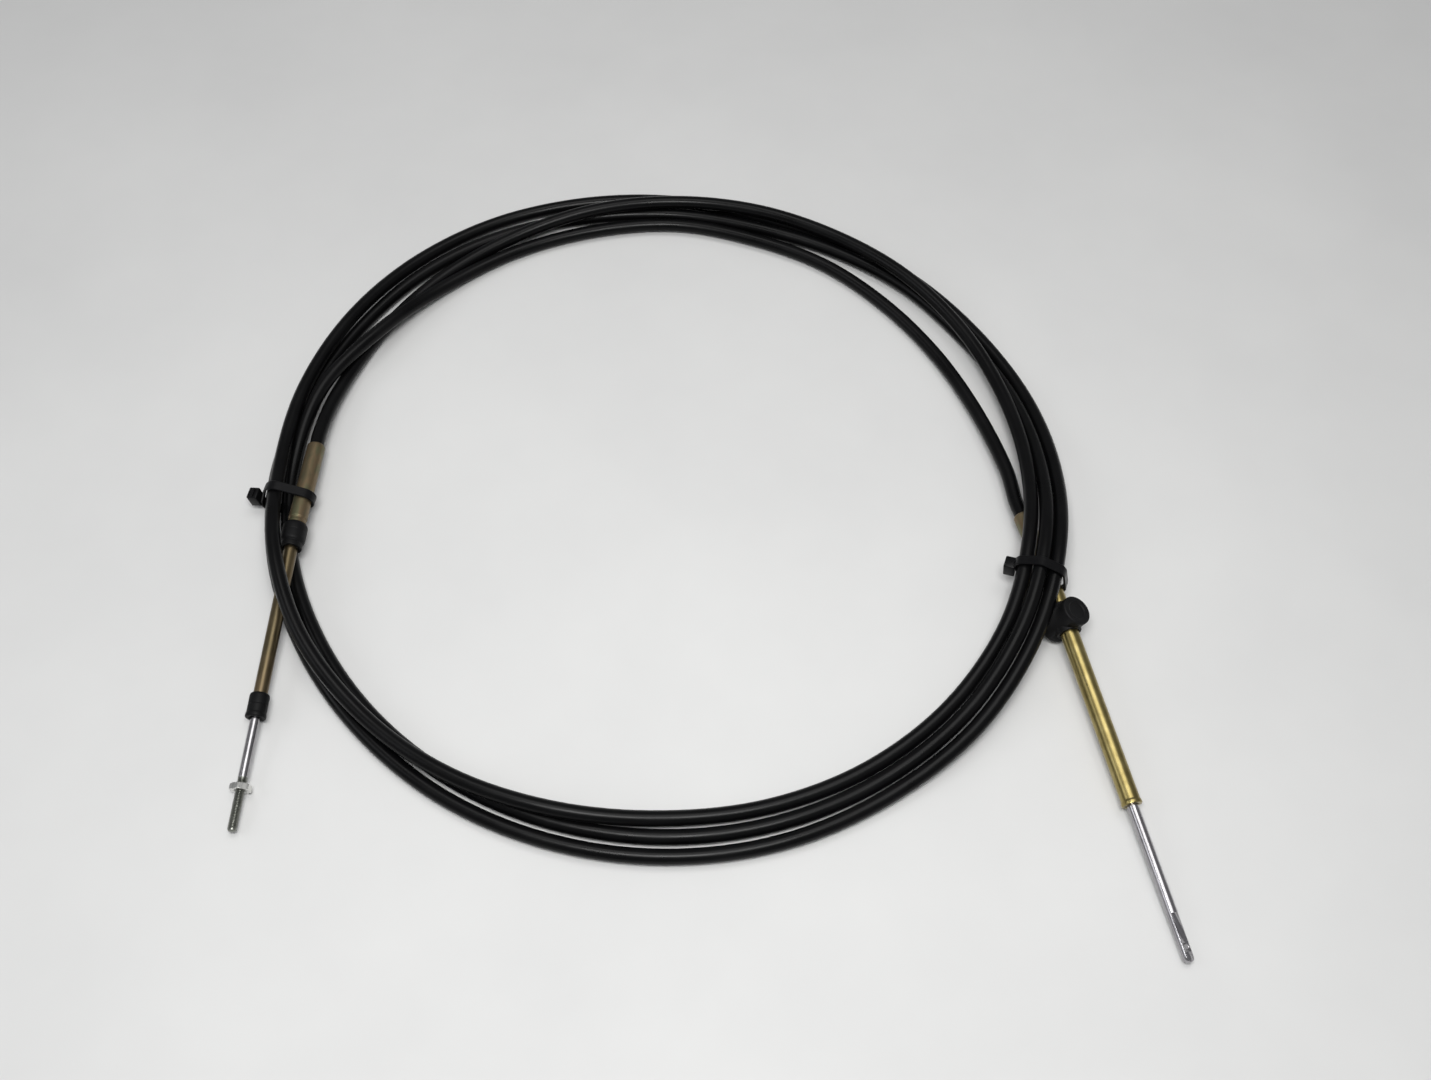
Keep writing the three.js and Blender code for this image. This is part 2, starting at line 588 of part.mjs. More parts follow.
// Everything that a tie may hold: the jacket, the hubs from swivel to mouth, and the brass tube.
const tiedLines = [
  { points: route.getPoints(ROUTE_SAMPLES), radius: JACKET_DIAMETER / 2 },
  { points: [CONTROL_SWIVEL, CONTROL_HUB_MOUTH], radius: HUB_DIAMETER / 2 },
  { points: [ENGINE_SWIVEL, ENGINE_HUB_MOUTH], radius: HUB_DIAMETER / 2 },
  { points: [ENGINE_SWIVEL, ENGINE_EYE_TIP], radius: TUBE_DIAMETER / 2 },
];
const controlTiePlane = tiePlane(-1, CONTROL_TIE_Y, CONTROL_TIE_SKEW);
const engineTiePlane = tiePlane(1, ENGINE_TIE_Y, ENGINE_TIE_SKEW);
add("cable_tie_control", cableTie(tiedLines, controlTiePlane, CONTROL_TIE_HEAD), "nylon");
add("cable_tie_engine", cableTie(tiedLines, engineTiePlane, ENGINE_TIE_HEAD), "nylon");

// The part's origin is under the middle of its bounding box, on the floor.
part.updateMatrixWorld(true);
const bounds = new THREE.Box3().setFromObject(part, true);
const centre = bounds.getCenter(new THREE.Vector3());
part.position.set(-centre.x, -centre.y, -bounds.min.z);

export default part;
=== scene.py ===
import math

import bmesh
import bpy
from mathutils import Matrix, Vector


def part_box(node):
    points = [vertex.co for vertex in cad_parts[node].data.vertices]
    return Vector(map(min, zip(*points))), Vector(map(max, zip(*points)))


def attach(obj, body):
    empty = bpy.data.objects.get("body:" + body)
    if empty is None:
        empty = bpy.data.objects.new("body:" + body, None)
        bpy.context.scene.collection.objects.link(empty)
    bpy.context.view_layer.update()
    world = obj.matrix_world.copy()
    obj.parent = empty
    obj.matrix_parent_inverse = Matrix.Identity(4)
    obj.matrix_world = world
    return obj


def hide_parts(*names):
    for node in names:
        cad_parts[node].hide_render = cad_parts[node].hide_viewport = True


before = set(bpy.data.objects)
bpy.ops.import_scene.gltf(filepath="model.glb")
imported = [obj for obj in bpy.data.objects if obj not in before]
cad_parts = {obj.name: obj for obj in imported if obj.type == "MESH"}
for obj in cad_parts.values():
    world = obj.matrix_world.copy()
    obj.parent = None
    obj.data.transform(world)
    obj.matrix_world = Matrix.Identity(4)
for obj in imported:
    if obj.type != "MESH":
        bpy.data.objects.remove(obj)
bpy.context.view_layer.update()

# A boat's push-pull control cable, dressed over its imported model. Sizes below are millimetres in the coil's
# own frame: x and y from the coil's centre, z from the floor. placed() turns them into the row's metres.

MM = 0.001
UP = Vector((0, 0, 1))

# The jacket's route, as in the part's source
JACKET_DIAMETER = 7.9
STRAND_GAP = 0.4
STRAND_PITCH = JACKET_DIAMETER + STRAND_GAP
COIL_RADIUS = 210
STATION_STEP = 15
FIRST_STATION = 165
STRAIGHT_EXIT = 10
GAP = 0.3
HUB_SOCKET_DEPTH = 18
TURNS = [
    (
        [-1.05, -0.8, -0.47, -0.6, -0.7, -0.48, -0.73, -0.98, -1.29, -1.46, -1.57, -1.57,
         -1.39, -0.92, -0.8, -0.89, -1, -0.98, -0.46, 0, 0.35, 0.75, 0.68, 0.7],
        [0.55, 0.1, 0, 0.46, 0.99, 0.84, 0.98, 0.96, 1.17, 1.06, 1.04, 1.6,
         2.3, 1.75, 0.78, 0.14, 0, 0.24, 0.95, 1.01, 0.95, 1.85, 2.35, 1.35],
    ),
    (
        [1.08, 1.41, 1.8, 1.81, 1.12, 0.36, -0.48, -0.61, -0.4, -0.22, 0.2, 0.36,
         0.5, 0.95, 1.23, 1.16, 1.28, 1.25, 1.16, 1.06, 0.92, 0.95, 1.17, 1.22],
        [1.07, 0.88, 0.36, 0, 0, 0, 0, 0, 0, 0, 0.18, 1.14,
         2.49, 2, 0.9, 0.14, 0, 0, 0, 0, 0, 0, 0.11, 0.22],
    ),
    (
        [0.96, 0.87, 0.83, 0.35, -0.46, -1.04, -1.67, -1.6, -1.39, -1.22, -0.8, -0.62,
         -0.44, -0.01, 0.22, 0.12, 0.11, 0.07, -0.01, -0.1, -0.12, -0.06, 0.12, 0.17],
        [0.07, 0, 0, 0, 0, 0, 0.12, 0.07, 0.16, 0.06, 0.42, 1.39,
         2.71, 2.24, 1.02, 0.14, 0, 0, 0, 0, 0, 0, 0.07, 0.22],
    ),
    (
        [-0.12, -1.29, -1.46, -1.59, -1.86, -2.07, -2.75, -3.13, -3.62, -3.8, -3.6, -2.74],
        [1.1, 1.14, 0.23, 0, 0, 0, 0, 0, 0, 0.06, 0.3, 0.7],
    ),
]

# Hubs
HUB_DIAMETER = 9.9
BALL_RADIUS = 4.1
BALL_NECK_RADIUS = 3.3
BALL_NECK_LENGTH = 1.5
CONTROL_GROOVE_FROM_SWIVEL = 6.8
ENGINE_GROOVE_FROM_SWIVEL = 8
GROOVE_DEPTH = 0.5
GROOVE_SLOPE = 0.45
GROOVE_WIDTH = 2.2
HUB_CHAMFER_LENGTH = 0.7
HUB_CHAMFER_DEPTH = 0.45
CRIMP_FROM_MOUTH = 4
CRIMP_LENGTH = 22
CRIMP_DEPTH = 0.1
CRIMP_FADE = 2
CRIMP_FLATS = 6
CRIMP_RINGS = 40

# Control end
CONTROL_SWIVEL_IN = 9
CONTROL_MOUTH_IN = 11
CONTROL_TIP_IN = 1.6
CONTROL_SWIVEL = Vector((CONTROL_SWIVEL_IN - COIL_RADIUS, -44.8, 15.5))
CONTROL_HUB_MOUTH = Vector((CONTROL_MOUTH_IN - COIL_RADIUS, 15.1, 11.5))
CONTROL_ROD_TIP = Vector((CONTROL_TIP_IN - COIL_RADIUS, -207.8, 3.5))
CONTROL_ROD_DIAMETER = 4.8
SLEEVE_DIAMETER = 7.1
SLEEVE_LENGTH = 102.2
BOOT_DIAMETER = 13.2
BOOT_LIP_DIAMETER = 11.4
BOOT_ABOVE_SWIVEL = 5
BOOT_BELOW_SWIVEL = 9.9
BOOT_CLEARANCE = 0.45
BOOT_ROOM = 0.9
BOOT_RIM_LENGTH = 1.2
BOOT_LIP_LENGTH = 2.6
BOOT_LIP_WAIST = 0.25
BOOT_SEAM_DEPTH = 0.12
BOOT_SEAM_HALF_WIDTH = 0.2
SEAL_DIAMETER = 10.4
SEAL_LENGTH = 13
SEAL_WALL = 3
SEAL_RIM_HEIGHT = 0.2
SEAL_RIM_LENGTH = 1.9
SEAL_GROOVE_FROM_FRONT = 6.9
SEAL_GROOVE_HALF_WIDTH = 0.3
SEAL_GROOVE_DEPTH = 0.25
SEAL_MOUTH_WIDTH = 1
SEAL_MOUTH_DEPTH = 0.9
WIPER_CLEARANCE = 0.15
NUT_ACROSS_FLATS = 9.5
NUT_THICKNESS = 3.2
NUT_FROM_TIP = 20.4
NUT_THREAD_CLEARANCE = 0.12
NUT_COUNTERSINK_WIDTH = 0.5
NUT_COUNTERSINK_DEPTH = 0.35
NUT_CHAMFER_DEGREES = 62
NUT_CHAMFER_INSET = 0.05
THREAD_LENGTH = 27
THREAD_PITCH = 0.794
THREAD_DEPTH = 0.42
THREAD_CREST_INSET = 0.05
THREAD_RINGS = 8
THREAD_FADE_IN = 1.5
THREAD_FADE_OUT = 1.2
THREAD_END_MARGIN = 0.4
THREAD_TIP_LENGTH = 1.6

# Engine end
ENGINE_SWIVEL_IN = 9.25
ENGINE_MOUTH_IN = 17.9
ENGINE_TIP_OUT = 33.1
ENGINE_SWIVEL = Vector((COIL_RADIUS - ENGINE_SWIVEL_IN, -72.1, 15.4))
ENGINE_HUB_MOUTH = Vector((COIL_RADIUS - ENGINE_MOUTH_IN, -31.6, 11.4))
ENGINE_EYE_TIP = Vector((COIL_RADIUS + ENGINE_TIP_OUT, -270.4, 3.2))
ENGINE_ROD_DIAMETER = 5.6
TUBE_DIAMETER = 9.5
TUBE_LENGTH = 126.8
TUBE_LIP_HEIGHT = 0.35
TUBE_LIP_LENGTH = 1.6
TUBE_LIP_SLOPE = 1
EYE_LENGTH = 23
EYE_THICKNESS = 2.6
EYE_TURN = -30
EYE_HOLE_DIAMETER = 3.4
EYE_HOLE_FROM_TIP = 7.3
EYE_COUNTERSINK = 0.35
TRUNNION_FROM_SWIVEL = 25.3
TRUNNION_DIAMETER = 16.2
TRUNNION_LENGTH = 21.6
TRUNNION_TILT = 65
TRUNNION_EDGE = 1.1
TRUNNION_RIM_WIDTH = 3
TRUNNION_DISH_DEPTH = 0.5
TRUNNION_DISH_SLOPE = 0.6
TRUNNION_COLLAR_DIAMETER = 13
TRUNNION_COLLAR_LENGTH = 16.2
TRUNNION_COLLAR_EDGE = 0.7
ROD_OUT = 42
ROD_IN = 34
ROD_MARGIN = 4
CUTTER_REACH = 20

# Cable ties
TIE_WIDTH = 5.4
TIE_THICKNESS = 1.2
TIE_FACET = 1.4
TIE_EDGE = 0.3
TIE_TEETH_DEPTH = 0.35
TIE_TEETH_WIDTH_SHARE = 0.55
TIE_RAIL_WIDTH_SHARE = 0.62
TIE_HEAD_WIDTH = 7
TIE_HEAD_LENGTH = 8.4
TIE_HEAD_HEIGHT = 6
TIE_HEAD_BEVEL = 0.7
TIE_TAIL_LENGTH = 1
TIE_TAIL_BEVEL = 0.25
CONTROL_TIE_Y = -20
CONTROL_TIE_SKEW = -14
CONTROL_TIE_HEAD = -8
ENGINE_TIE_Y = -72.9
ENGINE_TIE_SKEW = 0
ENGINE_TIE_HEAD = 188


def unit(start, end):
    return (end - start).normalized()


def placed_along(origin, axis):
    """Matrix of a shape at a point, its own z along an axis and its own x as level as it can be."""
    side = UP.cross(axis).normalized()
    matrix = Matrix((side, axis.cross(side), axis)).transposed().to_4x4()
    matrix.translation = origin
    return matrix


control_axis = unit(CONTROL_SWIVEL, CONTROL_ROD_TIP)
control_reach = (CONTROL_ROD_TIP - CONTROL_SWIVEL).length
control_hub_axis = unit(CONTROL_SWIVEL, CONTROL_HUB_MOUTH)
control_hub_length = (CONTROL_HUB_MOUTH - CONTROL_SWIVEL).length
engine_axis = unit(ENGINE_SWIVEL, ENGINE_EYE_TIP)
engine_reach = (ENGINE_EYE_TIP - ENGINE_SWIVEL).length
engine_hub_axis = unit(ENGINE_SWIVEL, ENGINE_HUB_MOUTH)
engine_hub_length = (ENGINE_HUB_MOUTH - ENGINE_SWIVEL).length
boot_axis = (control_axis - control_hub_axis).normalized()
trunnion_centre = ENGINE_SWIVEL + engine_axis * TRUNNION_FROM_SWIVEL

# The coil frame's place in the row: the middle of the trunnion's box is the middle of the trunnion.
trunnion_low, trunnion_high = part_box("trunnion")
OFFSET = (Vector(trunnion_low) + Vector(trunnion_high)) / 2 - trunnion_centre * MM
TO_ROW = Matrix.Translation(OFFSET) @ Matrix.Scale(MM, 4)

ON_CONTROL_HUB = placed_along(CONTROL_SWIVEL, control_hub_axis)
ON_CONTROL_END = placed_along(CONTROL_SWIVEL, control_axis)
ON_BOOT = placed_along(CONTROL_SWIVEL, boot_axis)
ON_ENGINE_HUB = placed_along(ENGINE_SWIVEL, engine_hub_axis)
ON_ENGINE_END = placed_along(ENGINE_SWIVEL, engine_axis)
ON_EYE = ON_ENGINE_END @ Matrix.Rotation(math.radians(EYE_TURN), 4, "Z")
AT_TRUNNION = placed_along(trunnion_centre, engine_axis)


# Node materials

def node_material(name):
    material = bpy.data.materials.new(name)
    material.use_nodes = True
    nodes = material.node_tree.nodes
    links = material.node_tree.links
    return material, nodes, links, nodes["Principled BSDF"]


def coordinates(nodes, links, stretch=(1, 1, 1)):
    """The object's own coordinates, in metres, scaled along each axis."""
    source = nodes.new("ShaderNodeTexCoord")
    mapping = nodes.new("ShaderNodeMapping")
    mapping.inputs["Scale"].default_value = stretch
    links.new(source.outputs["Object"], mapping.inputs["Vector"])
    return mapping.outputs["Vector"]


def noise(nodes, links, vector, scale, detail=4, roughness=0.6):
    texture = nodes.new("ShaderNodeTexNoise")
    texture.inputs["Scale"].default_value = scale
    texture.inputs["Detail"].default_value = detail
    texture.inputs["Roughness"].default_value = roughness
    links.new(vector, texture.inputs["Vector"])
    return texture.outputs["Fac"]


def ramp(nodes, links, value, stops):
    """Colour ramp of (place, colour) stops; a colour is a grey or three numbers."""
    node = nodes.new("ShaderNodeValToRGB")
    elements = node.color_ramp.elements
    while len(elements) < len(stops):
        elements.new(0.5)
    for element, (place, colour) in zip(elements, stops):
        element.position = place
        red, green, blue = (colour,) * 3 if isinstance(colour, (int, float)) else colour
        element.color = (red, green, blue, 1)
    links.new(value, node.inputs["Fac"])
    return node.outputs["Color"]


def mixed(nodes, links, first, second, amount):
    """Mix of two colour outputs by an output."""
    node = nodes.new("ShaderNodeMix")
    node.data_type = "RGBA"
    links.new(amount, node.inputs[0])
    links.new(first, node.inputs[6])
    links.new(second, node.inputs[7])
    return node.outputs[2]


def bump(nodes, links, heights, shader):
    """Bumps one after another, each an (output, strength, distance in mm)."""
    normal = None
    for height, strength, distance in heights:
        node = nodes.new("ShaderNodeBump")
        node.inputs["Strength"].default_value = strength
        node.inputs["Distance"].default_value = distance * MM
        links.new(height, node.inputs["Height"])
        if normal is not None:
            links.new(normal, node.inputs["Normal"])
        normal = node.outputs["Normal"]
    links.new(normal, shader.inputs["Normal"])


def black_plastic(name, dark, light, roughness, grain_scale, grain_depth):
    """Moulded or extruded black plastic or rubber: slight mottling, fine grain and a little dust."""
    material, nodes, links, shader = node_material(name)
    place = coordinates(nodes, links)
    mottle = noise(nodes, links, place, 140, 5)
    specks = noise(nodes, links, place, 2600, 3, 0.7)
    body = ramp(nodes, links, mottle, [(0.3, dark), (0.75, light)])
    dusty = ramp(nodes, links, mottle, [(0.3, tuple(c * 1.8 for c in light)), (0.8, (0.045, 0.045, 0.047))])
    dust_mask = ramp(nodes, links, specks, [(0.66, 0), (0.78, 0.5)])
    links.new(mixed(nodes, links, body, dusty, dust_mask), shader.inputs["Base Color"])
    low, high = roughness
    links.new(ramp(nodes, links, noise(nodes, links, place, 60, 6), [(0.3, low), (0.72, high)]),
              shader.inputs["Roughness"])
    shader.inputs["Specular IOR Level"].default_value = 0.13
    grain = noise(nodes, links, place, grain_scale, 3, 0.55)
    waves = noise(nodes, links, place, 90, 2)
    bump(nodes, links, [(grain, 0.35, grain_depth), (waves, 0.3, 0.12)], shader)
    return material


def drawn_metal(name, tones, roughness, streak=0.5, stain=None):
    """Metal drawn or turned along its own z, with fine streaks and cloudy tarnish."""
    material, nodes, links, shader = node_material(name)
    along = coordinates(nodes, links, (1, 1, 0.03))
    place = coordinates(nodes, links)
    streaks = noise(nodes, links, along, 2200, 4, 0.65)
    clouds = noise(nodes, links, place, 130, 5, 0.62)
    colour = ramp(nodes, links, clouds, tones)
    if stain:
        spots = noise(nodes, links, place, 520, 4, 0.7)
        spot_mask = ramp(nodes, links, spots, [(0.6, 0), (0.72, 0.6)])
        spot_colour = ramp(nodes, links, clouds, [(0.2, stain), (0.9, stain)])
        colour = mixed(nodes, links, colour, spot_colour, spot_mask)
    links.new(colour, shader.inputs["Base Color"])
    shader.inputs["Metallic"].default_value = 1
    low, high = roughness
    links.new(ramp(nodes, links, noise(nodes, links, along, 900, 5), [(0.3, low), (0.75, high)]),
              shader.inputs["Roughness"])
    bump(nodes, links, [(streaks, streak, 0.02), (clouds, 0.08, 0.03)], shader)
    return material


def plated(name, tones, roughness):
    """Zinc plate with a yellow passivated film, which shades from olive to gold with a touch of pink."""
    material, nodes, links, shader = node_material(name)
    place = coordinates(nodes, links, (1, 1, 0.35))
    along = coordinates(nodes, links, (1, 1, 0.05))
    film = noise(nodes, links, place, 110, 5, 0.6)
    links.new(ramp(nodes, links, film, tones), shader.inputs["Base Color"])
    shader.inputs["Metallic"].default_value = 0.9
    low, high = roughness
    links.new(ramp(nodes, links, noise(nodes, links, place, 300, 4), [(0.3, low), (0.75, high)]),
              shader.inputs["Roughness"])
    bump(nodes, links, [(noise(nodes, links, along, 1500, 4), 0.3, 0.02),
                        (noise(nodes, links, place, 700, 3), 0.2, 0.03)], shader)
    return material


def jacket_material():
    """Extruded black jacket: semi-gloss, with faint long ripples, dull rubbed patches and a little dust."""
    material, nodes, links, shader = node_material("jacket_black")
    place = coordinates(nodes, links)
    rubbed = noise(nodes, links, place, 38, 6, 0.62)
    specks = noise(nodes, links, place, 1900, 3, 0.75)
    body = ramp(nodes, links, rubbed, [(0.32, (0.0018, 0.0018, 0.002)), (0.75, (0.0034, 0.0034, 0.0037))])
    dusty = ramp(nodes, links, rubbed, [(0.3, (0.012, 0.012, 0.013)), (0.8, (0.04, 0.04, 0.043))])
    dust_mask = ramp(nodes, links, specks, [(0.68, 0), (0.8, 0.45)])
    links.new(mixed(nodes, links, body, dusty, dust_mask), shader.inputs["Base Color"])
    links.new(ramp(nodes, links, rubbed, [(0.3, 0.24), (0.72, 0.38)]), shader.inputs["Roughness"])
    shader.inputs["Specular IOR Level"].default_value = 0.14
    ripples = noise(nodes, links, place, 70, 2)
    grain = noise(nodes, links, place, 2400, 3)
    bump(nodes, links, [(ripples, 0.3, 0.16), (grain, 0.25, 0.02)], shader)
    return material


jacket_black = jacket_material()
boot_rubber = black_plastic(
    "boot_rubber", (0.003, 0.003, 0.0033), (0.006, 0.006, 0.0065), (0.42, 0.6), grain_scale=3200,
    grain_depth=0.03)
tie_nylon = black_plastic(
    "tie_nylon", (0.003, 0.003, 0.0035), (0.006, 0.006, 0.0065), (0.24, 0.4), grain_scale=2200,
    grain_depth=0.015)
trunnion_plastic = black_plastic(
    "trunnion_plastic", (0.004, 0.004, 0.0043), (0.008, 0.008, 0.0085), (0.42, 0.6), grain_scale=2600,
    grain_depth=0.03)
hub_plate = plated(
    "hub_plate", [
        (0.28, (0.12, 0.115, 0.07)),
        (0.45, (0.2, 0.145, 0.085)),
        (0.58, (0.14, 0.14, 0.08)),
        (0.76, (0.25, 0.15, 0.12)),
    ], (0.4, 0.56))
sleeve_plate = plated(
    "sleeve_plate",
    [(0.28, (0.085, 0.07, 0.04)), (0.5, (0.13, 0.1, 0.055)), (0.75, (0.17, 0.12, 0.075))], (0.3, 0.44))
tube_brass = drawn_metal(
    "tube_brass", [(0.28, (0.25, 0.195, 0.075)), (0.5, (0.34, 0.275, 0.11)), (0.74, (0.42, 0.345, 0.155))],
    (0.26, 0.38), stain=(0.2, 0.14, 0.045))
rod_steel = drawn_metal(
    "rod_steel", [(0.3, (0.33, 0.32, 0.335)), (0.7, (0.45, 0.44, 0.455))], (0.2, 0.3), streak=0.12)
nut_zinc = drawn_metal(
    "nut_zinc", [(0.3, (0.62, 0.62, 0.6)), (0.7, (0.78, 0.78, 0.75))], (0.22, 0.36), streak=0.4)
stud_steel = drawn_metal(
    "stud_steel", [(0.3, (0.15, 0.155, 0.14)), (0.7, (0.27, 0.275, 0.25))], (0.28, 0.44), streak=0.5)


# Shapes

def rounded(outline):
    """Outline with its corners rounded. A point is (radius, height) or (radius, height, cut), where cut is
    how far from the corner the rounding starts."""
    steps = 5
    points = []
    count = len(outline)
    for i, (radius, height, *cut) in enumerate(outline):
        corner = Vector((radius, height))
        if not cut:
            points.append(corner)
            continue
        before = Vector(outline[i - 1][:2])
        after = Vector(outline[(i + 1) % count][:2])
        start = corner + (before - corner).normalized() * cut[0]
        end = corner + (after - corner).normalized() * cut[0]
        for step in range(steps + 1):
            t = step / steps
            points.append(start * (1 - t) ** 2 + corner * 2 * t * (1 - t) + end * t ** 2)
    return points


def arc(radius, centre, start, end, steps):
    """Outline points along an arc about a centre on the axis; 90 degrees points up the axis."""
    points = []
    for i in range(steps + 1):
        angle = math.radians(start + (end - start) * i / steps)
        points.append((max(radius * math.cos(angle), 0), centre + radius * math.sin(angle)))
    return points


def to_object(name, bm, placement, material, sharp=35):
    """Finishes a bmesh that is in millimetres in its own frame, and places it in the row."""
    bmesh.ops.scale(bm, vec=(MM, MM, MM), verts=bm.verts)
    bmesh.ops.recalc_face_normals(bm, faces=bm.faces)
    mesh = bpy.data.meshes.new(name)
    bm.to_mesh(mesh)
    bm.free()
    mesh.shade_smooth()
    mesh.set_sharp_from_angle(angle=math.radians(sharp))
    mesh.materials.append(material)
    obj = bpy.data.objects.new(name, mesh)
    bpy.context.scene.collection.objects.link(obj)
    obj.matrix_world = TO_ROW @ placement @ Matrix.Scale(1 / MM, 4)
    return obj


def lathe(bm, outline, segments=72, warp=None):
    """Turns an outline of (radius, height) points about z. An outline that doesn't start and end on the
    axis is closed on itself. warp(radius, height, angle) may change the radius."""
    rings = []
    for radius, height in outline:
        if radius < 1e-6:
            rings.append([bm.verts.new((0, 0, height))])
            continue
        ring = []
        for i in range(segments):
            angle = 2 * math.pi * i / segments
            reach = warp(radius, height, angle) if warp else radius
            ring.append(bm.verts.new((reach * math.cos(angle), reach * math.sin(angle), height)))
        rings.append(ring)
    if len(rings[0]) > 1 or len(rings[-1]) > 1:
        rings.append(rings[0])
    for lower, upper in zip(rings, rings[1:]):
        for i in range(segments):
            j = (i + 1) % segments
            corners = [
                lower[i % len(lower)], lower[j % len(lower)], upper[j % len(upper)], upper[i % len(upper)],
            ]
            kept = list(dict.fromkeys(corners))
            if len(kept) > 2:
                bm.faces.new(kept)


def turned(name, outline, placement, material, segments=72, warp=None, sharp=35):
    bm = bmesh.new()
    lathe(bm, rounded(outline), segments, warp)
    return to_object(name, bm, placement, material, sharp)


def dressed(obj, body, node):
    """The piece stands for a CAD node and moves with its body."""
    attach(obj, body)
    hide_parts(node)


# Jacket

def jacket_points():
    points = [
        CONTROL_HUB_MOUTH + control_hub_axis * (GAP - HUB_SOCKET_DEPTH),
        CONTROL_HUB_MOUTH.copy(),
        CONTROL_HUB_MOUTH + control_hub_axis * STRAIGHT_EXIT,
    ]
    for lanes, layers in TURNS:
        for i, (lane, layer) in enumerate(zip(lanes, layers)):
            angle = math.radians(FIRST_STATION - i * STATION_STEP)
            radius = COIL_RADIUS + lane * STRAND_PITCH
            height = JACKET_DIAMETER / 2 + layer * STRAND_PITCH
            points.append(Vector((radius * math.cos(angle), radius * math.sin(angle), height)))
    points += [
        ENGINE_HUB_MOUTH + engine_hub_axis * STRAIGHT_EXIT,
        ENGINE_HUB_MOUTH.copy(),
        ENGINE_HUB_MOUTH + engine_hub_axis * (GAP - HUB_SOCKET_DEPTH),
    ]
    return points


def smooth_line(points):
    """Centripetal Catmull-Rom curve through the points, with the ends carried on straight."""
    steps = 8
    padded = [points[0] * 2 - points[1], *points, points[-1] * 2 - points[-2]]
    line = []
    for p0, p1, p2, p3 in zip(padded, padded[1:], padded[2:], padded[3:]):
        d0, d1, d2 = (math.sqrt((b - a).length) for a, b in ((p0, p1), (p1, p2), (p2, p3)))
        start = ((p1 - p0) / d0 - (p2 - p0) / (d0 + d1) + (p2 - p1) / d1) * d1
        end = ((p2 - p1) / d1 - (p3 - p1) / (d1 + d2) + (p3 - p2) / d2) * d1
        for step in range(steps):
            t = step / steps
            line.append(
                p1 * (2 * t ** 3 - 3 * t ** 2 + 1) + start * (t ** 3 - 2 * t ** 2 + t)
                + p2 * (3 * t ** 2 - 2 * t ** 3) + end * (t ** 3 - t ** 2))
    line.append(points[-1])
    return line


jacket_line = smooth_line(jacket_points())
jacket_curve = bpy.data.curves.new("jacket", "CURVE")
jacket_curve.dimensions = "3D"
jacket_curve.bevel_depth = JACKET_DIAMETER / 2 * MM
jacket_curve.bevel_resolution = 6
jacket_curve.use_fill_caps = True
spline = jacket_curve.splines.new("POLY")
spline.points.add(len(jacket_line) - 1)
for point, at in zip(spline.points, jacket_line):
    point.co = (*(TO_ROW @ at), 1)
spline.use_smooth = True
jacket_curve.materials.append(jacket_black)
jacket = bpy.data.objects.new("jacket", jacket_curve)
bpy.context.scene.collection.objects.link(jacket)
dressed(jacket, "casing", "cable_jacket")


# Hubs: each has a rolled groove, a swaged waist behind its mouth and a chamfer round it

def hub(name, length, groove, placement):
    radius = HUB_DIAMETER / 2
    socket = JACKET_DIAMETER / 2 + GAP
    cup = BALL_RADIUS + GAP
    # The long plain stretch has rings of its own, so that the swaged flats have points to bend
    bare_start = groove + GROOVE_WIDTH + 0.6
    bare_length = length - HUB_CHAMFER_LENGTH - groove - GROOVE_WIDTH - 1.4
    bare_rings = [(radius, bare_start + bare_length * i / CRIMP_RINGS) for i in range(CRIMP_RINGS + 1)]
    outline = [
        *arc(cup, 0, 90, 0, 8),
        (radius, 0, 0.35),
        (radius, groove, 0.25),
        (radius - GROOVE_DEPTH, groove + GROOVE_SLOPE, 0.2),
        (radius - GROOVE_DEPTH, groove + GROOVE_WIDTH - GROOVE_SLOPE, 0.2),
        (radius, groove + GROOVE_WIDTH, 0.25),
        *bare_rings,
        (radius, length - HUB_CHAMFER_LENGTH, 0.25),
        (radius - HUB_CHAMFER_DEPTH, length, 0.2),
        (socket, length),
        (socket, length - HUB_SOCKET_DEPTH),
        (0, length - HUB_SOCKET_DEPTH),
    ]
    crimp_end = length - CRIMP_FROM_MOUTH
    crimp_start = crimp_end - CRIMP_LENGTH

    def crimped(reach, height, angle):
        """Faint flats where the hub is swaged on the jacket."""
        if reach < radius - CRIMP_DEPTH or not crimp_start < height < crimp_end:
            return reach
        fade = min(height - crimp_start, crimp_end - height, CRIMP_FADE) / CRIMP_FADE
        return reach - CRIMP_DEPTH * fade * (0.5 + 0.5 * math.cos(CRIMP_FLATS * angle))

    return turned(name, outline, placement, hub_plate, 96, crimped)


control_hub = hub("control_hub_dressed", control_hub_length, CONTROL_GROOVE_FROM_SWIVEL, ON_CONTROL_HUB)
dressed(control_hub, "casing", "control_hub")
engine_hub = hub("engine_hub_dressed", engine_hub_length, ENGINE_GROOVE_FROM_SWIVEL, ON_ENGINE_HUB)
dressed(engine_hub, "casing", "engine_hub")


# Boot over the control swivel: round shoulder, slim lip and a faint moulding seam round it

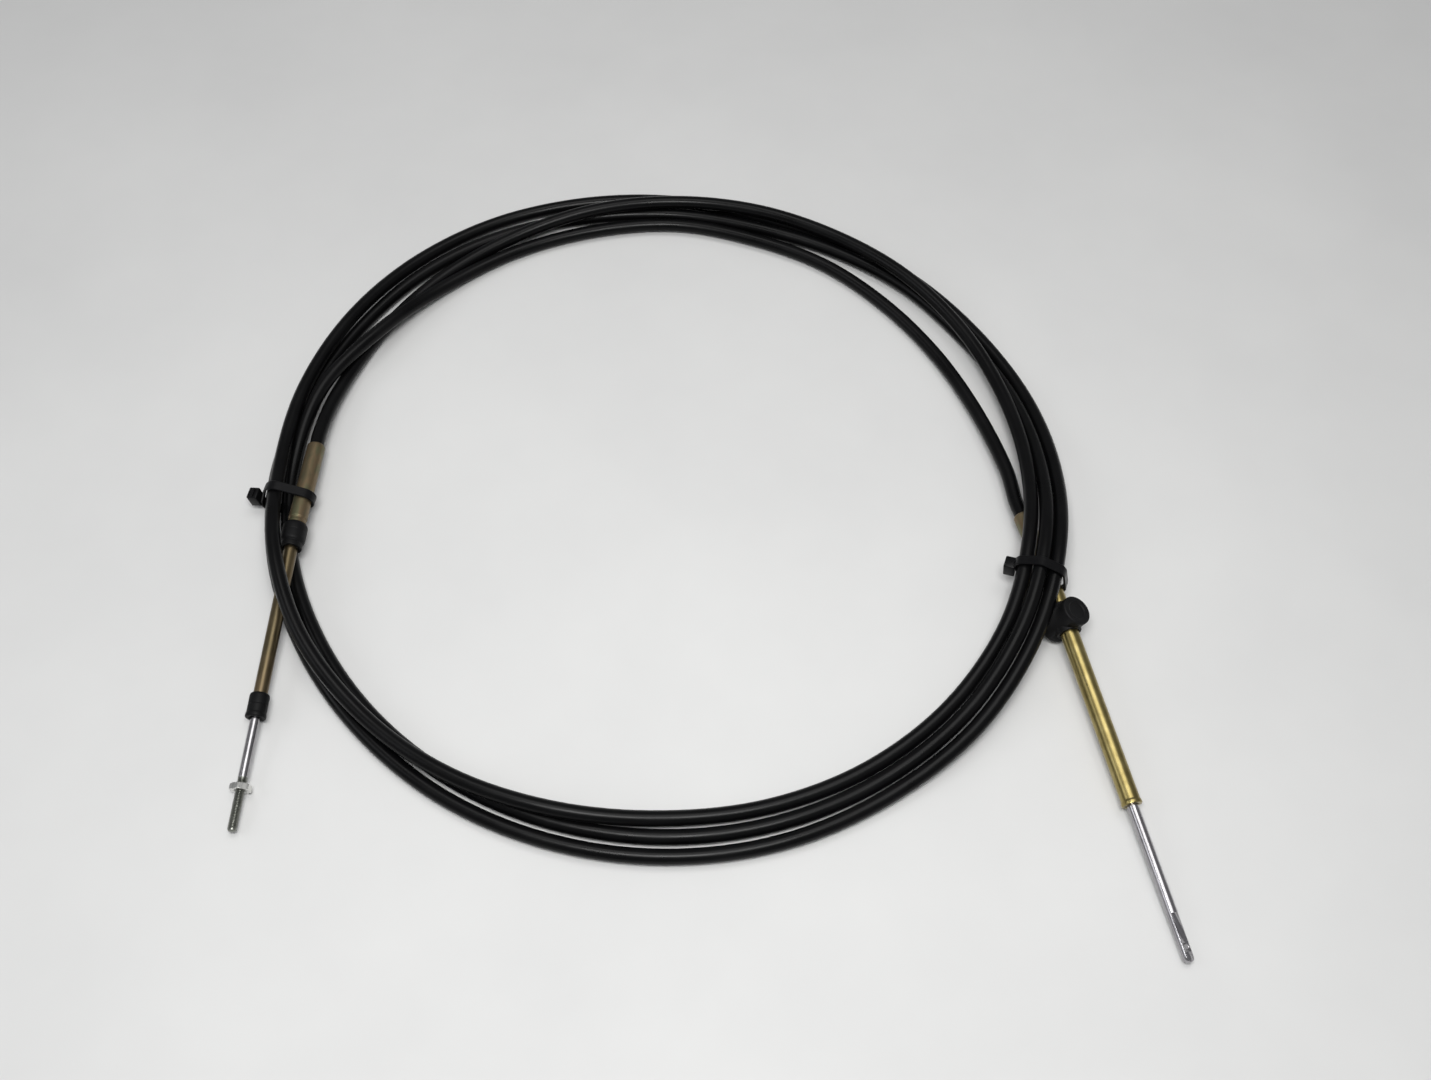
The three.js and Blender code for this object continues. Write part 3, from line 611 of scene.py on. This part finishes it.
hub_radius = HUB_DIAMETER / 2
sleeve_radius = SLEEVE_DIAMETER / 2
boot_radius = BOOT_DIAMETER / 2
boot_lip = BOOT_LIP_DIAMETER / 2
boot_top = -BOOT_ABOVE_SWIVEL
boot_bottom = BOOT_BELOW_SWIVEL
boot = turned("boot", [
    (hub_radius + BOOT_CLEARANCE, boot_top, 0.3),
    (hub_radius + BOOT_CLEARANCE, boot_top + BOOT_RIM_LENGTH),
    (hub_radius + BOOT_ROOM, -1),
    (sleeve_radius + BOOT_ROOM, boot_bottom - 3),
    (sleeve_radius + BOOT_CLEARANCE, boot_bottom - BOOT_RIM_LENGTH),
    (sleeve_radius + BOOT_CLEARANCE, boot_bottom, 0.25),
    (boot_lip, boot_bottom, 0.5),
    (boot_lip, boot_bottom - BOOT_LIP_LENGTH, 0.4),
    (boot_lip - BOOT_LIP_WAIST, boot_bottom - BOOT_LIP_LENGTH - 0.6, 0.25),
    (boot_radius, boot_bottom - BOOT_LIP_LENGTH - 1.8, 1),
    (boot_radius, 2 * BOOT_SEAM_HALF_WIDTH, 0.15),
    (boot_radius - BOOT_SEAM_DEPTH, BOOT_SEAM_HALF_WIDTH, 0.1),
    (boot_radius, 0, 0.15),
    (boot_radius, boot_top, 2.2),
], ON_BOOT, boot_rubber)
dressed(boot, "casing", "control_boot")


# Sleeve and brass tube, each with a swivel ball at its inner end

def barrel(name, radius, bore, length, end, placement, material):
    neck_angle = math.degrees(math.acos(BALL_NECK_RADIUS / BALL_RADIUS))
    neck_top = BALL_RADIUS + BALL_NECK_LENGTH
    shoulder = neck_top + radius - BALL_NECK_RADIUS
    return turned(name, [
        *arc(BALL_RADIUS, 0, -90, neck_angle, 12),
        (BALL_NECK_RADIUS, neck_top, 0.4),
        (radius, shoulder, 0.5),
        *end,
        (bore, length, 0.2),
        (bore, shoulder),
        (0, shoulder),
    ], placement, material)


sleeve = barrel(
    "sleeve", sleeve_radius, CONTROL_ROD_DIAMETER / 2 + GAP, SLEEVE_LENGTH,
    [(sleeve_radius, SLEEVE_LENGTH, 0.4)], ON_CONTROL_END, sleeve_plate)
dressed(sleeve, "casing", "control_sleeve")

tube_radius = TUBE_DIAMETER / 2
tube = barrel(
    "brass_tube", tube_radius, ENGINE_ROD_DIAMETER / 2 + GAP, TUBE_LENGTH, [
        (tube_radius, TUBE_LENGTH - TUBE_LIP_LENGTH - TUBE_LIP_SLOPE, 0.4),
        (tube_radius + TUBE_LIP_HEIGHT, TUBE_LENGTH - TUBE_LIP_LENGTH, 0.4),
        (tube_radius + TUBE_LIP_HEIGHT, TUBE_LENGTH, 0.45),
    ], ON_ENGINE_END, tube_brass)
dressed(tube, "casing", "engine_tube")


# Wiper seal on the sleeve's end

rod_radius = CONTROL_ROD_DIAMETER / 2
seal_radius = SEAL_DIAMETER / 2
seal_body = seal_radius - SEAL_RIM_HEIGHT
seal_front = SLEEVE_LENGTH + GAP + SEAL_WALL
seal_back = seal_front - SEAL_LENGTH
seal_groove = seal_front - SEAL_GROOVE_FROM_FRONT
seal = turned("seal", [
    (sleeve_radius + GAP, seal_back, 0.25),
    (seal_body, seal_back, 1.5),
    (seal_body, seal_groove - SEAL_GROOVE_HALF_WIDTH, 0.2),
    (seal_body - SEAL_GROOVE_DEPTH, seal_groove, 0.15),
    (seal_body, seal_groove + SEAL_GROOVE_HALF_WIDTH, 0.2),
    (seal_body - 0.05, seal_front - SEAL_RIM_LENGTH - 0.7, 0.4),
    (seal_radius, seal_front - SEAL_RIM_LENGTH, 0.3),
    (seal_radius, seal_front, 0.7),
    (rod_radius + SEAL_MOUTH_WIDTH, seal_front, 0.3),
    (rod_radius + WIPER_CLEARANCE, seal_front - SEAL_MOUTH_DEPTH, 0.2),
    (rod_radius + GAP, SLEEVE_LENGTH + GAP),
    (sleeve_radius + GAP, SLEEVE_LENGTH + GAP),
], ON_CONTROL_END, boot_rubber)
dressed(seal, "casing", "control_seal")


# Control rod with a rolled thread, and its jam nut

thread_start = control_reach - THREAD_LENGTH
thread_crest = rod_radius - THREAD_CREST_INSET


def threaded(reach, height, angle):
    """Rolled thread: a rounded helix that fades in at its start and out at the tip."""
    if height < thread_start:
        return reach
    turn = (height / THREAD_PITCH - angle / (2 * math.pi)) % 1
    groove = (0.5 - 0.5 * math.cos(2 * math.pi * turn)) ** 0.8
    fade_in = (height - thread_start) / THREAD_FADE_IN
    fade_out = max(0, control_reach - THREAD_END_MARGIN - height) / THREAD_FADE_OUT
    return reach - THREAD_DEPTH * groove * min(1, fade_in, fade_out) * min(1, reach / thread_crest)


rod_inner = BALL_RADIUS + sleeve_radius + ROD_IN + ROD_MARGIN
thread_rings = int(THREAD_LENGTH / THREAD_PITCH * THREAD_RINGS)
tip_start = control_reach - THREAD_TIP_LENGTH
thread_outline = [
    (thread_crest, thread_start + (tip_start - thread_start) * i / thread_rings)
    for i in range(thread_rings + 1)
]
tip_angles = [math.radians(degrees) for degrees in range(10, 90, 10)]
tip_outline = [
    (thread_crest * math.cos(angle) ** 0.8, tip_start + THREAD_TIP_LENGTH * math.sin(angle))
    for angle in tip_angles
]
control_rod = turned("control_rod_dressed", [
    (0, rod_inner),
    (rod_radius, rod_inner, 0.4),
    (rod_radius, thread_start - 0.4, 0.15),
    *thread_outline,
    *tip_outline,
    (0, control_reach),
], ON_CONTROL_END, rod_steel, 40, threaded, sharp=60)
control_rod.data.materials.append(stud_steel)
for face in control_rod.data.polygons:
    if face.center.z > (thread_start - 0.2) * MM:
        face.material_index = 1
dressed(control_rod, "control_core", "control_rod")

nut_flat = NUT_ACROSS_FLATS / 2
nut_outer = control_reach - NUT_FROM_TIP
nut_inner = nut_outer - NUT_THICKNESS
nut_bore = rod_radius + NUT_THREAD_CLEARANCE
nut_countersink = rod_radius + NUT_COUNTERSINK_WIDTH


def hexagonal(reach, height, angle):
    """Hexagon under a cone at each face, which leaves the round chamfer that a nut has."""
    if reach < rod_radius + 1:
        return reach
    sector = math.radians(60)
    flat = nut_flat / math.cos((angle + sector / 2) % sector - sector / 2)
    depth = min(height - nut_inner, nut_outer - height)
    cone = nut_flat - NUT_CHAMFER_INSET + depth * math.tan(math.radians(NUT_CHAMFER_DEGREES))
    return min(flat, cone)


# Rings close together near each face, where the cone meets the flats
nut_levels = [0, 0.1, 0.22, 0.35, 0.5, 0.7, 0.95, 1.3]
nut_heights = [nut_inner + h for h in nut_levels] + [nut_outer - h for h in reversed(nut_levels)]
nut = turned("nut", [
    (nut_bore, nut_inner + NUT_COUNTERSINK_DEPTH),
    (nut_countersink, nut_inner),
    *[(nut_flat, height) for height in nut_heights],
    (nut_countersink, nut_outer),
    (nut_bore, nut_outer - NUT_COUNTERSINK_DEPTH),
], ON_CONTROL_END, nut_zinc, 120, hexagonal, sharp=24)
dressed(nut, "control_core", "control_nut")


# Engine rod: round, with its end milled to a flat that is drilled for a pin

def cut_with(obj, tool):
    """Takes the tool's shape out of the piece for good."""
    modifier = obj.modifiers.new("cut", "BOOLEAN")
    modifier.operation = "DIFFERENCE"
    modifier.solver = "EXACT"
    modifier.object = tool
    bpy.context.view_layer.update()
    result = bpy.data.meshes.new_from_object(obj.evaluated_get(bpy.context.evaluated_depsgraph_get()))
    obj.modifiers.clear()
    obj.data = result
    bpy.data.objects.remove(tool, do_unlink=True)


def box_tool(low, high, placement):
    bm = bmesh.new()
    bmesh.ops.create_cube(bm, size=1)
    size = Vector(high) - Vector(low)
    middle = (Vector(high) + Vector(low)) / 2
    bmesh.ops.transform(bm, matrix=Matrix.Translation(middle) @ Matrix.Diagonal((*size, 1)), verts=bm.verts)
    return to_object("tool", bm, placement, rod_steel)


def pin_tool(radius, centre, placement):
    """Drill along the shape's own y, with a countersink at both faces of the flat."""
    straight = half_eye - EYE_COUNTERSINK
    wide = radius + CUTTER_REACH - straight
    bm = bmesh.new()
    lathe(bm, [(0, -CUTTER_REACH), (wide, -CUTTER_REACH), (radius, -straight),
               (radius, straight), (wide, CUTTER_REACH), (0, CUTTER_REACH)], 48)
    bmesh.ops.rotate(bm, matrix=Matrix.Rotation(math.pi / 2, 3, "X"), verts=bm.verts)
    bmesh.ops.translate(bm, vec=(0, 0, centre), verts=bm.verts)
    return to_object("tool", bm, placement, rod_steel)


half_eye = EYE_THICKNESS / 2
engine_rod_radius = ENGINE_ROD_DIAMETER / 2
engine_rod_inner = BALL_RADIUS + tube_radius + ROD_OUT + ROD_MARGIN
eye_start = engine_reach - EYE_LENGTH
eye_end = engine_reach + CUTTER_REACH
engine_rod = turned("engine_rod_dressed", [
    (0, engine_rod_inner),
    (engine_rod_radius, engine_rod_inner, 0.4),
    (engine_rod_radius, eye_start, 0.1),
    *arc(engine_rod_radius, engine_reach - engine_rod_radius, 0, 90, 12),
], ON_ENGINE_END, rod_steel)
above_eye = box_tool((-CUTTER_REACH, half_eye, eye_start), (CUTTER_REACH, CUTTER_REACH, eye_end), ON_EYE)
cut_with(engine_rod, above_eye)
below_eye = box_tool((-CUTTER_REACH, -CUTTER_REACH, eye_start), (CUTTER_REACH, -half_eye, eye_end), ON_EYE)
cut_with(engine_rod, below_eye)
cut_with(engine_rod, pin_tool(EYE_HOLE_DIAMETER / 2, engine_reach - EYE_HOLE_FROM_TIP, ON_EYE))
dressed(engine_rod, "engine_core", "engine_rod")


# Trunnion: cross barrel with dished ends, and a collar round the tube

barrel_radius = TRUNNION_DIAMETER / 2
barrel_half = TRUNNION_LENGTH / 2
rim_radius = barrel_radius - TRUNNION_RIM_WIDTH
dish_radius = rim_radius - TRUNNION_DISH_SLOPE
dish_half = barrel_half - TRUNNION_DISH_DEPTH
bm = bmesh.new()
lathe(bm, rounded([
    (0, -dish_half),
    (dish_radius, -dish_half, 0.3),
    (rim_radius, -barrel_half, 0.3),
    (barrel_radius, -barrel_half, TRUNNION_EDGE),
    (barrel_radius, barrel_half, TRUNNION_EDGE),
    (rim_radius, barrel_half, 0.3),
    (dish_radius, dish_half, 0.3),
    (0, dish_half),
]), 96)
bmesh.ops.rotate(bm, matrix=Matrix.Rotation(math.pi / 2, 3, "Y"), verts=bm.verts)
bmesh.ops.rotate(bm, matrix=Matrix.Rotation(math.radians(TRUNNION_TILT), 3, "Z"), verts=bm.verts)
trunnion = to_object("trunnion_dressed", bm, AT_TRUNNION, trunnion_plastic)
trunnion_bore = tube_radius + GAP
collar_radius = TRUNNION_COLLAR_DIAMETER / 2
collar_half = TRUNNION_COLLAR_LENGTH / 2
bm = bmesh.new()
lathe(bm, rounded([
    (trunnion_bore, -collar_half, 0.3),
    (trunnion_bore, collar_half, 0.3),
    (collar_radius, collar_half, TRUNNION_COLLAR_EDGE),
    (collar_radius, -collar_half, TRUNNION_COLLAR_EDGE),
]), 96)
collar = to_object("trunnion_collar", bm, AT_TRUNNION, trunnion_plastic)
bm = bmesh.new()
lathe(bm, [
    (0, -CUTTER_REACH), (trunnion_bore, -CUTTER_REACH), (trunnion_bore, CUTTER_REACH), (0, CUTTER_REACH),
], 96)
cut_with(trunnion, to_object("tool", bm, AT_TRUNNION, trunnion_plastic))
dressed(trunnion, "casing", "trunnion")
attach(collar, "casing")


# Cable ties: a strap drawn round everything that crosses its plane, and a ratchet head with its cut tail

def tie_plane(side, y, skew):
    """Upright plane across the coil's middle lane at a given y: its own x outwards and its own y up."""
    x = side * math.sqrt(COIL_RADIUS ** 2 - y ** 2)
    facing = math.atan2(y, x) + math.radians(skew)
    return Matrix((
        (math.cos(facing), 0, math.sin(facing), x),
        (math.sin(facing), 0, -math.cos(facing), y),
        (0, 1, 0, 0),
        (0, 0, 0, 1),
    ))


def crossings(lines, plane, shift):
    """Circles that the lines make where they cross the plane, shifted along the coil: out, up, radius."""
    inverse = plane.inverted()
    found = []
    for points, radius in lines:
        flat = [inverse @ point for point in points]
        for start, end in zip(flat, flat[1:]):
            before = start.z - shift
            after = end.z - shift
            if before * after > 0:
                continue
            at = start.lerp(end, before / (before - after))
            if abs(at.x) < COIL_RADIUS / 2:
                found.append((at.x, at.y, radius / abs(unit(start, end).z)))
    return found


def wrapped(circles, clearance):
    """Tightest closed outline round the circles, at a clearance from them."""
    facets = 64
    points = []
    for out, up, radius in circles:
        for i in range(facets):
            angle = 2 * math.pi * i / facets
            reach = radius + clearance
            points.append((out + reach * math.cos(angle), up + reach * math.sin(angle)))
    points.sort()

    def chain(ordered):
        kept = []
        for x, y in ordered:
            while len(kept) > 1:
                (ax, ay), (bx, by) = kept[-2:]
                if (bx - ax) * (y - ay) - (by - ay) * (x - ax) > 1e-6:
                    break
                kept.pop()
            kept.append((x, y))
        return kept[:-1]

    return [Vector(p) for p in chain(points) + chain(points[::-1])]


def resampled(loop, step):
    """Points at an even spacing round a closed loop."""
    lengths = [(b - a).length for a, b in zip(loop, loop[1:] + loop[:1])]
    count = round(sum(lengths) / step)
    spacing = sum(lengths) / count
    points, i, left = [], 0, 0.0
    for k in range(count):
        target = k * spacing
        while left + lengths[i] < target:
            left += lengths[i]
            i += 1
        points.append(loop[i].lerp(loop[(i + 1) % len(loop)], (target - left) / lengths[i]))
    return points


def block(bm, low, high, matrix, bevel):
    made = bmesh.ops.create_cube(bm, size=1)["verts"]
    size = Vector(high) - Vector(low)
    middle = (Vector(high) + Vector(low)) / 2
    placement = matrix @ Matrix.Translation(middle) @ Matrix.Diagonal((*size, 1))
    bmesh.ops.transform(bm, matrix=placement, verts=made)
    edges = list({edge for vert in made for edge in vert.link_edges})
    bmesh.ops.bevel(bm, geom=edges, offset=bevel, segments=3, profile=0.5, affect="EDGES")


def strap_section():
    """The strap's section, (thick, wide): its outer face is plain, and its inner one has a sunken band."""
    half_width = TIE_WIDTH / 2
    half_thick = TIE_THICKNESS / 2
    rail = half_width * TIE_RAIL_WIDTH_SHARE
    band = half_width * TIE_TEETH_WIDTH_SHARE
    half = [
        (half_thick, half_width - TIE_EDGE),
        (half_thick - TIE_EDGE, half_width),
        (TIE_EDGE - half_thick, half_width),
        (-half_thick, half_width - TIE_EDGE),
        (-half_thick, rail),
        (TIE_TEETH_DEPTH - half_thick, band),
    ]
    return half + [(thick, -wide) for thick, wide in reversed(half)]


def cable_tie(name, lines, plane, head_degrees):
    half_width = TIE_WIDTH / 2
    circles = [c for shift in (-half_width, 0, half_width) for c in crossings(lines, plane, shift)]
    loop = resampled(wrapped(circles, GAP + TIE_THICKNESS / 2), TIE_FACET)
    count = len(loop)
    section = strap_section()
    bm = bmesh.new()
    rings = []
    for i, at in enumerate(loop):
        along = (loop[(i + 1) % count] - loop[i - 1]).normalized()
        outward = Vector((along.y, -along.x))
        rings.append([bm.verts.new((*(at + outward * thick), wide)) for thick, wide in section])
    for i in range(count):
        ring, following = rings[i], rings[(i + 1) % count]
        for j in range(len(section)):
            k = (j + 1) % len(section)
            bm.faces.new((ring[j], ring[k], following[k], following[j]))

    inner = wrapped(circles, GAP)
    outer = wrapped(circles, GAP + TIE_THICKNESS)
    xs = [p.x for p in outer]
    ys = [p.y for p in outer]
    middle = Vector(((min(xs) + max(xs)) / 2, (min(ys) + max(ys)) / 2))
    angle = math.radians(head_degrees)
    direction = Vector((math.cos(angle), math.sin(angle)))
    seat = middle + direction * max((p - middle).dot(direction) for p in inner)
    matrix = Matrix.Translation((seat.x, seat.y, 0)) @ Matrix.Rotation(angle, 4, "Z")
    half_head = TIE_HEAD_LENGTH / 2
    half_head_width = TIE_HEAD_WIDTH / 2
    head_top = GAP + TIE_HEAD_HEIGHT
    block(bm, (GAP, -half_head, -half_head_width), (head_top, half_head, half_head_width), matrix,
          TIE_HEAD_BEVEL)
    # A low pad on the head's top, over the pawl
    block(bm, (head_top - 0.6, -half_head + 1.6, -1.7), (head_top + 0.05, half_head - 1.4, 1.7), matrix, 0.25)
    tail_low = (TIE_HEAD_HEIGHT - TIE_THICKNESS) / 2
    tail_high = tail_low + TIE_THICKNESS
    tail_end = half_head + TIE_TAIL_LENGTH
    block(bm, (tail_low, half_head - 1, -half_width), (tail_high, tail_end, half_width), matrix, TIE_TAIL_BEVEL)
    return to_object(name, bm, plane, tie_nylon, 40)


tied_lines = [
    (jacket_line, JACKET_DIAMETER / 2),
    ([CONTROL_SWIVEL, CONTROL_HUB_MOUTH], HUB_DIAMETER / 2),
    ([ENGINE_SWIVEL, ENGINE_HUB_MOUTH], HUB_DIAMETER / 2),
    ([ENGINE_SWIVEL, ENGINE_EYE_TIP], TUBE_DIAMETER / 2),
]
control_tie = cable_tie(
    "control_tie", tied_lines, tie_plane(-1, CONTROL_TIE_Y, CONTROL_TIE_SKEW), CONTROL_TIE_HEAD)
dressed(control_tie, "casing", "cable_tie_control")
engine_tie = cable_tie("engine_tie", tied_lines, tie_plane(1, ENGINE_TIE_Y, ENGINE_TIE_SKEW), ENGINE_TIE_HEAD)
dressed(engine_tie, "casing", "cable_tie_engine")


# Floor, camera and light

def floor_material():
    material, nodes, links, shader = node_material("floor_pale")
    place = coordinates(nodes, links)
    clouds = noise(nodes, links, place, 6, 4)
    links.new(ramp(nodes, links, clouds, [(0.3, (0.62, 0.62, 0.618)), (0.7, (0.66, 0.66, 0.656))]),
              shader.inputs["Base Color"])
    shader.inputs["Roughness"].default_value = 0.7
    shader.inputs["Specular IOR Level"].default_value = 0.25
    return material


bpy.ops.mesh.primitive_plane_add(size=12, location=(0, 0, 0))
floor = bpy.context.object
floor.name = "floor"
floor.data.materials.append(floor_material())


def area_light(name, place, target, size, watts, colour):
    data = bpy.data.lights.new(name, "AREA")
    data.shape = "RECTANGLE"
    data.size, data.size_y = size
    data.energy = watts
    data.color = colour
    light = bpy.data.objects.new(name, data)
    light.location = place
    light.rotation_euler = (Vector(target) - Vector(place)).to_track_quat("-Z", "Y").to_euler()
    bpy.context.scene.collection.objects.link(light)


area_light("ceiling", (0.1, 0.5, 2.2), (0, 0, 0), (1.6, 0.9), 14, (1, 0.995, 0.98))
area_light("flash", (0.0, -0.36, 0.92), (0, -0.1, 0), (0.4, 0.25), 7, (1, 1, 0.99))
area_light("side", (-1.6, -0.2, 1.2), (0, 0, 0), (0.8, 0.8), 4, (0.95, 0.97, 1))

world = bpy.data.worlds.new("studio")
world.use_nodes = True
background = world.node_tree.nodes["Background"]
background.inputs["Color"].default_value = (0.97, 0.98, 1, 1)
background.inputs["Strength"].default_value = 0.24
scene = bpy.context.scene
scene.world = world
scene.view_settings.view_transform = "Standard"

CAMERA_PLACE = Vector((25.2, -445.2, 651.6))
CAMERA_PITCH = 58.1
SENSOR_WIDTH = 36
PHOTO_WIDTH_PIXELS = 1431
FOCAL_LENGTH_PIXELS = 1400
camera_data = bpy.data.cameras.new("camera")
camera_data.lens = SENSOR_WIDTH * FOCAL_LENGTH_PIXELS / PHOTO_WIDTH_PIXELS
camera_data.sensor_width = SENSOR_WIDTH
camera_data.sensor_fit = "HORIZONTAL"
camera_data.clip_start = 0.01
camera = bpy.data.objects.new("camera", camera_data)
camera.location = TO_ROW @ CAMERA_PLACE
camera.rotation_euler = (math.radians(90 - CAMERA_PITCH), 0, 0)
scene.collection.objects.link(camera)
scene.camera = camera
